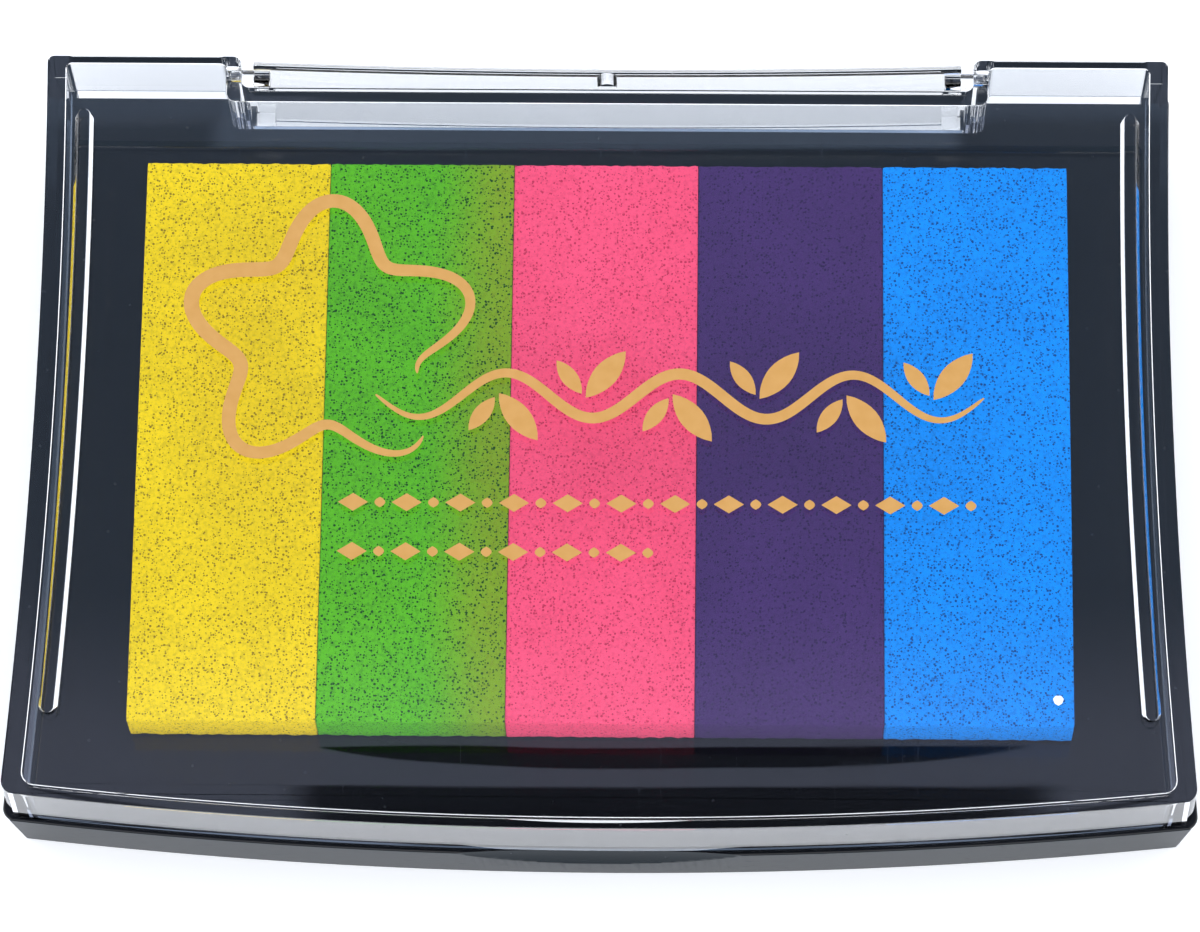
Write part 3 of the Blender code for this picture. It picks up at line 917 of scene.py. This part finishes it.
def soft_point(at, low, high):
    """A lattice point of the block moved onto its rounded, ragged surface."""
    inner = Vector(
        (min(max(at[a], low[a] + FOAM_ROUND), high[a] - FOAM_ROUND) for a in range(3))
    )
    out = (at - inner).normalized()
    ragged = noise.noise(at * 1500) * FOAM_PORES + noise.noise(at * 400) * FOAM_WAVES
    moved = inner + out * (FOAM_ROUND - FOAM_SINK + ragged)
    moved.x = inner.x + out.x * (FOAM_ROUND + FOAM_BULGE + ragged * 0.1)
    return moved


def make_pad():
    """Five strips that close up side by side. Yellow ink has bled into the green one."""
    for ink, (colour, dark, pores) in INKS.items():
        low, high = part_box(f"foam_{ink}")
        strip = foam_block(f"strip_{ink}", low, high)
        bleed = None
        if ink == "green":
            bleed = (high.x - 7.5 * MM, high.x + 1.0 * MM, (0.30, 0.27, 0.01), 0.55)
        material = inked_foam(f"{ink}_ink_foam", colour, dark, pores, bleed)
        strip.data.shade_smooth()
        finish_piece(strip, material, "base", f"foam_{ink}", f"foam_{ink}")


# ---------------------------------------------------------------- print on the lid


PRINT_LOW = 0.006 * MM
PRINT_HIGH = 0.014 * MM


def stroke(mesh, points, widths):
    """Adds a thin solid ribbon along points, each with its own width."""
    sides = []
    for i, (x, y) in enumerate(points):
        before, after = points[max(i - 1, 0)], points[min(i + 1, len(points) - 1)]
        dx, dy = after[0] - before[0], after[1] - before[1]
        length = math.hypot(dx, dy)
        nx, ny = -dy / length * widths[i] / 2, dx / length * widths[i] / 2
        column = []
        for sx, sy, sz in ((nx, ny, PRINT_LOW), (-nx, -ny, PRINT_LOW),
                           (-nx, -ny, PRINT_HIGH), (nx, ny, PRINT_HIGH)):
            column.append(mesh.verts.new((x + sx, y + sy, LID_TOP_Z + sz)))
        sides.append(column)
    for first, second in zip(sides, sides[1:]):
        for i in range(4):
            j = (i + 1) % 4
            mesh.faces.new((first[i], first[j], second[j], second[i]))
    mesh.faces.new(sides[0])
    mesh.faces.new(sides[-1])


def spindle(mesh, x, y, angle, length, width, steps=10):
    """A filled pointed shape, such as a leaf, centred at x, y."""
    points, widths = [], []
    for step in range(steps + 1):
        t = step / steps
        reach = (t - 0.5) * length
        points.append((x + reach * math.cos(angle), y + reach * math.sin(angle)))
        widths.append(max(0.02 * MM, width * math.sin(math.pi * t) ** 0.8))
    stroke(mesh, points, widths)


def make_emblem(material):
    """Generic ornament: a five-petalled outline, a leafy vine, and two rows of small lozenges."""
    mesh = bmesh.new()
    flower_x, flower_y, flower_r = -27.8 * MM, 10.5 * MM, 14.8 * MM
    points, widths = [], []
    steps = 200
    opening, gap = -0.62, 0.42
    for step in range(steps + 1):
        t = step / steps
        angle = opening + gap / 2 + (2 * math.pi - gap) * t
        radius = flower_r * (0.82 + 0.18 * math.cos(5 * (angle - math.pi / 2)))
        points.append((flower_x + radius * math.cos(angle), flower_y + radius * math.sin(angle)))
        widths.append((0.12 + 1.45 * math.sin(math.pi * t) ** 0.45) * MM)
    stroke(mesh, points, widths)
    vine_from, vine_to, vine_y = -23.0 * MM, 38.5 * MM, 4.3 * MM
    turns, swell = 3.5, 2.4 * MM
    points, widths = [], []
    steps = 150
    for step in range(steps + 1):
        t = step / steps
        points.append((
            vine_from + (vine_to - vine_from) * t,
            vine_y - swell * math.sin(2 * math.pi * turns * t),
        ))
        widths.append((0.15 + 1.05 * math.sin(math.pi * t) ** 0.5) * MM)
    stroke(mesh, points, widths)
    leaves = int(turns * 2)
    for leaf in range(1, leaves):
        t = (leaf + 0.5) / leaves
        up = -1 if leaf % 2 else 1
        x = vine_from + (vine_to - vine_from) * t
        spindle(mesh, x + 1.3 * MM, vine_y + up * 2.3 * MM, up * 0.9, 6.4 * MM, 2.5 * MM)
        spindle(mesh, x - 2.4 * MM, vine_y + up * 2.0 * MM, up * 2.2, 4.4 * MM, 1.7 * MM)
    for row_y, row_to in ((-7.2 * MM, 37.0 * MM), (-12.4 * MM, 2.4 * MM)):
        x = -25.0 * MM
        while x < row_to:
            spindle(mesh, x, row_y, 0.0, 3.0 * MM, 1.9 * MM, 2)
            spindle(mesh, x + 2.7 * MM, row_y, math.pi / 2, 1.1 * MM, 1.1 * MM, 6)
            x += 5.4 * MM
    emblem = add_object("lid_emblem", mesh)
    finish_piece(emblem, material, "lid", "lid_clear")


def make_gate_scar(material):
    """Low round scar left by the moulding gate, near the lid's front right corner."""
    x, y, radius, height = 45.6 * MM, -27.5 * MM, 0.5 * MM, 0.06 * MM
    mesh = bmesh.new()
    rings = []
    for size, z in ((1.0, 0.004 * MM), (1.0, height * 0.6), (0.8, height), (0.45, height * 0.7)):
        ring = []
        for step in range(SCAR_SIDES):
            angle = 2 * math.pi * step / SCAR_SIDES
            wobble = 1 + 0.06 * math.sin(3 * angle) + 0.04 * math.sin(7 * angle)
            reach = radius * size * wobble
            ring.append(mesh.verts.new(
                (x + reach * math.cos(angle), y + reach * math.sin(angle), LID_TOP_Z + z)
            ))
        rings.append(ring)
    for first, second in zip(rings, rings[1:]):
        for i in range(SCAR_SIDES):
            j = (i + 1) % SCAR_SIDES
            mesh.faces.new((first[i], first[j], second[j], second[i]))
    mesh.faces.new(rings[0])
    mesh.faces.new(rings[-1])
    scar = add_object("lid_gate_scar", mesh)
    smooth(scar)
    finish_piece(scar, material, "lid", "lid_clear")


# ---------------------------------------------------------------- stage


def make_camera():
    """The photograph's viewpoint: well above the front, a little to the right, slightly rolled."""
    azimuth, elevation, roll = math.radians(3.017), math.radians(70.911), math.radians(-2.465)
    distance, target = 616.8 * MM, Vector((-0.364, -0.1, 10.0)) * MM
    back = Vector((
        math.sin(azimuth) * math.cos(elevation),
        -math.cos(azimuth) * math.cos(elevation),
        math.sin(elevation),
    ))
    right = (-back).cross(Vector((0, 0, 1))).normalized()
    up = right.cross(-back)
    rolled_right = right * math.cos(roll) + up * math.sin(roll)
    rolled_up = up * math.cos(roll) - right * math.sin(roll)
    data = bpy.data.cameras.new("camera")
    data.sensor_width = 36
    data.lens = 180.88
    data.clip_start = 0.01
    data.clip_end = 20
    camera = bpy.data.objects.new("camera", data)
    bpy.context.scene.collection.objects.link(camera)
    turn = Matrix((rolled_right, rolled_up, back)).transposed().to_4x4()
    camera.matrix_world = Matrix.Translation(target + back * distance) @ turn
    bpy.context.scene.camera = camera


def make_floor():
    """Plain white sheet under the case, lit a little from within so that it stays pale."""
    mesh = bmesh.new()
    bmesh.ops.create_grid(mesh, x_segments=8, y_segments=8, size=1.5)
    floor = add_object("floor", mesh)
    floor.location.z = cad_low.z - 0.02 * MM
    material, nodes, shader = new_material("white_sheet")
    white = nodes.mix(nodes.noise(9, 3), (0.86, 0.87, 0.88), (0.90, 0.91, 0.92))
    nodes.link(white, shader.inputs["Base Color"])
    nodes.link(nodes.step(nodes.noise(300, 3), 0.3, 0.7, 0.75, 0.9), shader.inputs["Roughness"])
    shader.inputs["Specular IOR Level"].default_value = 0.2
    shader.inputs["Emission Color"].default_value = (1, 1, 1, 1)
    shader.inputs["Emission Strength"].default_value = 0.32
    floor.data.materials.append(material)


WALL_COLOUR = (1.0, 1.02, 1.06)
CEILING_FRONT = (0.197, 0.222, 0.305)
CEILING_REAR = (0.082, 0.110, 0.158)
CEILING_STRIP = (0.24, 0.32, 0.46)
FLAG_COLOUR = (0.0, 0.0, 0.0)
FLAG_COVER = 0.96
TENT_STRENGTH = 2.05


def make_world():
    """Soft tent: bright low walls all round, and a dim grey ceiling that the flat faces mirror.

    across and along are x / z and y / z of a direction, so they are flat coordinates on the
    ceiling. The pad's flat faces mirror a small patch of it, with along between 0.28 and 0.42.
    """
    world = bpy.data.worlds.new("soft_tent")
    bpy.context.scene.world = world
    world.use_nodes = True
    nodes = Nodes(world.node_tree)
    background = world.node_tree.nodes["Background"]
    ray = nodes.add("ShaderNodeSeparateXYZ")
    nodes.link(nodes.add("ShaderNodeTexCoord").outputs["Generated"], ray.inputs[0])
    x, y, z = ray.outputs
    wall = nodes.step(z, 0.66, 0.86, 1.0, 0.0)
    up = nodes.math("MAXIMUM", z, 0.05)
    across = nodes.math("ADD", nodes.math("DIVIDE", x, up), 0.005)
    slant = nodes.math("MULTIPLY", across, 0.008)
    along = nodes.math("SUBTRACT", nodes.math("DIVIDE", y, up), slant)
    near = nodes.step(along, 0.325, 0.292)
    ceiling = nodes.mix(near, CEILING_REAR, CEILING_FRONT)
    # a lighter strip at the rear, most of all over the middle
    offset = nodes.math("ABSOLUTE", nodes.math("ADD", across, 0.0165))
    middle = nodes.step(offset, 0.064, 0.069, 1.0, 0.0)
    rear = nodes.math("MULTIPLY_ADD", middle, 0.72, 0.12)
    rear = nodes.math("MULTIPLY", rear, nodes.step(along, 0.4053, 0.4063))
    rear = nodes.math("MAXIMUM", rear, nodes.step(along, 0.4085, 0.4135, 0.0, 0.62))
    ceiling = nodes.mix(rear, ceiling, CEILING_STRIP)
    # a dark flag overhead in two parts, the first one lens-shaped, with the grey ceiling between
    bow = nodes.math("POWER", nodes.math("DIVIDE", nodes.math("ABSOLUTE", across), 0.06), 4.0)
    lens = nodes.math("MULTIPLY_ADD", bow, 0.0034, 0.2906)
    before = nodes.step(along, 0.2942, 0.2946, 1.0, 0.0)
    beyond = nodes.step(nodes.math("SUBTRACT", along, lens), -0.0002, 0.0003)
    first = nodes.math("MULTIPLY", before, beyond)
    before = nodes.step(along, 0.2868, 0.2876, 1.0, 0.0)
    between = nodes.step(nodes.math("ABSOLUTE", across), 0.060, 0.070, 1.0, 0.0)
    second = nodes.math("MULTIPLY", before, between)
    flag = nodes.math("MAXIMUM", first, second)
    ceiling = nodes.mix(nodes.math("MULTIPLY", flag, FLAG_COVER), ceiling, FLAG_COLOUR)
    nodes.link(nodes.mix(wall, ceiling, WALL_COLOUR), background.inputs["Color"])
    background.inputs["Strength"].default_value = TENT_STRENGTH


TRAY_BLACK = (0.0032, 0.0035, 0.0045)
# painted bluish reflection on the tray's upright faces
TRAY_SIDE_PAINTED_REFLECTION = (0.006, 0.0105, 0.0145)
COVER_BLACK = (0.010, 0.0105, 0.012)
CLEAR_TINT = (0.985, 0.992, 1.0)


def dress_node(name, material):
    """Gives a CAD node that stays visible its material."""
    data = frame["nodes"][name].data
    data.materials.clear()
    data.materials.append(material)


def main():
    bpy.context.scene.view_settings.view_transform = "Standard"
    make_camera()
    make_floor()
    make_world()
    make_tray(moulded_black("tray_black", TRAY_BLACK, 0.10, side=TRAY_SIDE_PAINTED_REFLECTION))
    make_cover(moulded_black("cover_black", COVER_BLACK, 0.34, grain=0.00002))
    make_link(clear_plastic("link_clear", CLEAR_TINT, 0.03))
    make_lid(clear_plastic("lid_clear", CLEAR_TINT, 0.02))
    make_pad()
    make_emblem(tan_ink())
    make_gate_scar(frosted())
    dress_node("blank_label", paper())
    backing = tape()
    for ink in INKS:
        dress_node(f"backing_{ink}", backing)


main()
